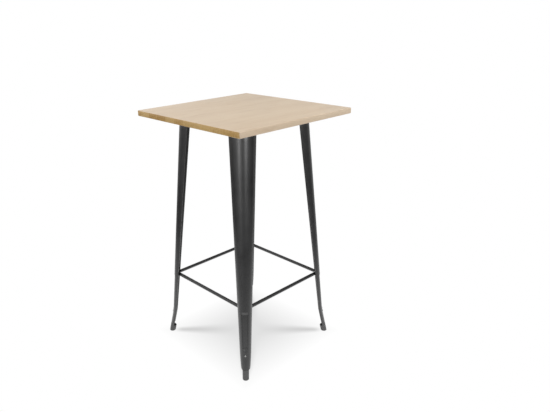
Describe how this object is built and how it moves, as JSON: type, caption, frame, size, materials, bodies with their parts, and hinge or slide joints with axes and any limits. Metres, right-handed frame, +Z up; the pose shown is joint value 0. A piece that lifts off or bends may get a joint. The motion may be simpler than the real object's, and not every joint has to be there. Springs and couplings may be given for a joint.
{
  "type": "pub table",
  "caption": "Tall square pub table with a pale edge-glued wooden top on splayed black pressed-steel legs, tied low down by slim stretcher rods.",
  "frame": {"origin": "on the floor under the middle of the top", "axes": "+Z up; X and Y along the sides of the top; the grain of the top runs along X; -Y is the front, and the legs stand on the diagonals"},
  "size_m": [0.6, 0.6, 1.02],
  "materials": {
    "top_wood": "pale edge-glued hardwood staves under a satin clear coat, with darker end grain on two edges",
    "black_paint": "satin black powder coat on steel",
    "foot_rubber": "matt dark grey moulded hard rubber",
    "zinc_steel": "bright zinc plate on steel fasteners",
    "rivet_steel": "bare rivet head, lightly dulled"
  },
  "bodies": {
    "root": {"table_top": "top_wood", "leg_front_left": "black_paint", "leg_head_plate_front_left": "black_paint", "stretcher_tab_front_left": "black_paint", "foot_front_left": "foot_rubber", "leg_front_right": "black_paint", "leg_head_plate_front_right": "black_paint", "stretcher_tab_front_right": "black_paint", "foot_front_right": "foot_rubber", "leg_back_right": "black_paint", "leg_head_plate_back_right": "black_paint", "stretcher_tab_back_right": "black_paint", "foot_back_right": "foot_rubber", "leg_back_left": "black_paint", "leg_head_plate_back_left": "black_paint", "stretcher_tab_back_left": "black_paint", "foot_back_left": "foot_rubber", "frame_rail_front": "black_paint", "stretcher_front": "black_paint", "frame_rail_right": "black_paint", "stretcher_right": "black_paint", "frame_rail_back": "black_paint", "stretcher_back": "black_paint", "frame_rail_left": "black_paint", "stretcher_left": "black_paint", "head_bolts": "zinc_steel", "head_washers": "zinc_steel", "head_nuts": "zinc_steel", "top_screws": "zinc_steel", "stretcher_bolts": "zinc_steel", "stretcher_washers": "zinc_steel", "stretcher_nuts": "zinc_steel", "foot_rivets": "rivet_steel"}
  },
  "joints": []
}
